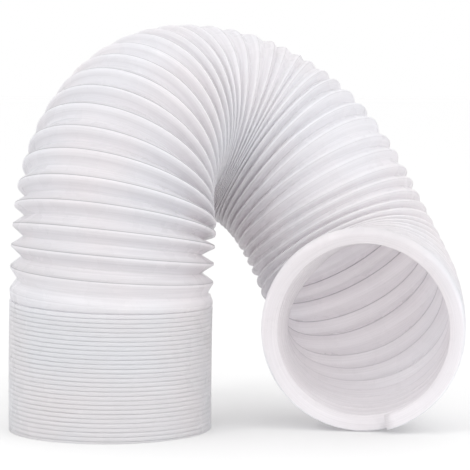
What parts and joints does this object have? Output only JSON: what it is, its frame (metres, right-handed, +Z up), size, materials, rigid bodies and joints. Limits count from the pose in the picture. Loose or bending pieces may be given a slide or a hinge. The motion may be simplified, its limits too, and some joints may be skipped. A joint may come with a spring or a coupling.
{
  "type": "air conditioner exhaust hose",
  "caption": "Spirally pleated white plastic duct hose that carries warm air out of a portable air conditioner, standing folded and arched over to an open mouth",
  "frame": {"origin": "on the floor, under the middle of the hose's bounding box", "axes": "+Z up; +X from the standing foot to the open mouth; -Y is the way the mouth faces"},
  "size_m": [0.3388, 0.2318, 0.2989],
  "materials": {
    "hose_wall": "satin white polypropylene"
  },
  "bodies": {
    "root": {"hose_wall": "hose_wall"}
  },
  "joints": []
}
